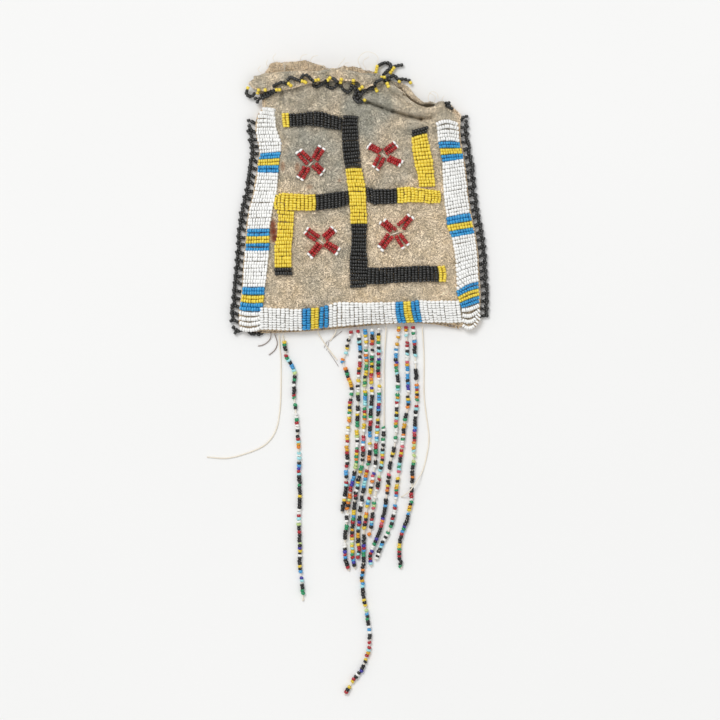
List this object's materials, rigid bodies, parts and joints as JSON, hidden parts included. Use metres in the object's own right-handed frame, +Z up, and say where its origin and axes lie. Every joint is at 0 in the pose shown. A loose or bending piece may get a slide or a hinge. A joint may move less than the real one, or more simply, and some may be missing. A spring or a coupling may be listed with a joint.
{
  "type": "beaded bag",
  "caption": "Flat hide pouch with lane-stitched beadwork on its front, bead edgings, a folded cuff at the mouth and a fringe of beaded strands.",
  "frame": {"origin": "on the table, in the middle of the back panel's outer face", "axes": "+X to the right across the front, +Y from the bottom seam towards the mouth, +Z up out of the front as the bag lies on its back"},
  "size_m": [0.1414, 0.3178, 0.0113],
  "materials": {
    "hide": "matt",
    "thread": "matt",
    "brown_thread": "matt",
    "white_beads": "gloss",
    "black_beads": "gloss",
    "yellow_beads": "gloss",
    "red_beads": "gloss",
    "fringe_beads": "gloss"
  },
  "bodies": {
    "pouch": {"back_panel": "hide", "front_panel": "hide", "bottom_seam_stitching": "thread", "left_border_beads": "white_beads", "right_border_beads": "white_beads", "bottom_border_beads": "white_beads", "figure_post": "black_beads", "figure_top_arm": "black_beads", "figure_left_arm": "yellow_beads", "figure_left_drop": "yellow_beads", "figure_right_arm": "yellow_beads", "figure_right_rise": "yellow_beads", "figure_foot_arm": "black_beads", "red_cross_upper_left": "red_beads", "red_cross_upper_right": "red_beads", "red_cross_lower_left": "red_beads", "red_cross_lower_right": "red_beads", "left_edging": "black_beads", "right_edging": "black_beads", "back_mouth_edging": "black_beads", "brown_thread_end_1": "brown_thread", "brown_thread_end_2": "brown_thread", "pale_thread_end_1": "thread", "pale_thread_end_2": "thread"},
    "lip": {"front_lip": "hide", "mouth_corner_beads": "black_beads"},
    "cuff": {"mouth_cuff": "hide", "cuff_edging": "black_beads"},
    "strand_left": {"fringe_left": "fringe_beads", "left_thread_tail": "thread"},
    "strand_1": {"fringe_1": "fringe_beads"},
    "strand_2": {"fringe_2": "fringe_beads"},
    "strand_3": {"fringe_3": "fringe_beads"},
    "strand_4": {"fringe_4": "fringe_beads"},
    "strand_5": {"fringe_5": "fringe_beads"},
    "strand_5_short": {"fringe_5_short": "fringe_beads"},
    "strand_6": {"fringe_6": "fringe_beads"},
    "strand_7": {"fringe_7": "fringe_beads"},
    "strand_8": {"fringe_8": "fringe_beads", "right_thread_tail": "thread"}
  },
  "joints": [
    {"name": "lip_open", "type": "hinge", "parent": "pouch", "child": "lip", "pos_m": [0, 0.04575, 0.0089], "axis": [1, 0, 0], "range_deg": [0, 45]},
    {"name": "cuff_unfold", "type": "hinge", "parent": "lip", "child": "cuff", "pos_m": [0, 0.06235, 0.0089], "axis": [-1, 0, 0], "range_deg": [0, 150]},
    {"name": "strand_left_swing", "type": "hinge", "parent": "pouch", "child": "strand_left", "pos_m": [-0.039, -0.06875, 0.00135], "axis": [-1, 0, 0], "range_deg": [-90, 90]},
    {"name": "strand_1_swing", "type": "hinge", "parent": "pouch", "child": "strand_1", "pos_m": [-0.005, -0.06631, 0.00135], "axis": [-1, 0, 0], "range_deg": [-90, 90]},
    {"name": "strand_2_swing", "type": "hinge", "parent": "pouch", "child": "strand_2", "pos_m": [-0.0015, -0.06596, 0.00135], "axis": [-1, 0, 0], "range_deg": [-90, 90]},
    {"name": "strand_3_swing", "type": "hinge", "parent": "pouch", "child": "strand_3", "pos_m": [0.002, -0.06561, 0.00135], "axis": [-1, 0, 0], "range_deg": [-90, 90]},
    {"name": "strand_4_swing", "type": "hinge", "parent": "pouch", "child": "strand_4", "pos_m": [0.0055, -0.06527, 0.00135], "axis": [-1, 0, 0], "range_deg": [-90, 90]},
    {"name": "strand_5_swing", "type": "hinge", "parent": "pouch", "child": "strand_5", "pos_m": [0.009, -0.06495, 0.00135], "axis": [-1, 0, 0], "range_deg": [-90, 90]},
    {"name": "strand_5_short_swing", "type": "hinge", "parent": "pouch", "child": "strand_5_short", "pos_m": [0.0125, -0.06466, 0.00135], "axis": [-1, 0, 0], "range_deg": [-90, 90]},
    {"name": "strand_6_swing", "type": "hinge", "parent": "pouch", "child": "strand_6", "pos_m": [0.019, -0.06424, 0.00135], "axis": [-1, 0, 0], "range_deg": [-90, 90]},
    {"name": "strand_7_swing", "type": "hinge", "parent": "pouch", "child": "strand_7", "pos_m": [0.0225, -0.06411, 0.00135], "axis": [-1, 0, 0], "range_deg": [-90, 90]},
    {"name": "strand_8_swing", "type": "hinge", "parent": "pouch", "child": "strand_8", "pos_m": [0.026, -0.06405, 0.00135], "axis": [-1, 0, 0], "range_deg": [-90, 90]}
  ]
}
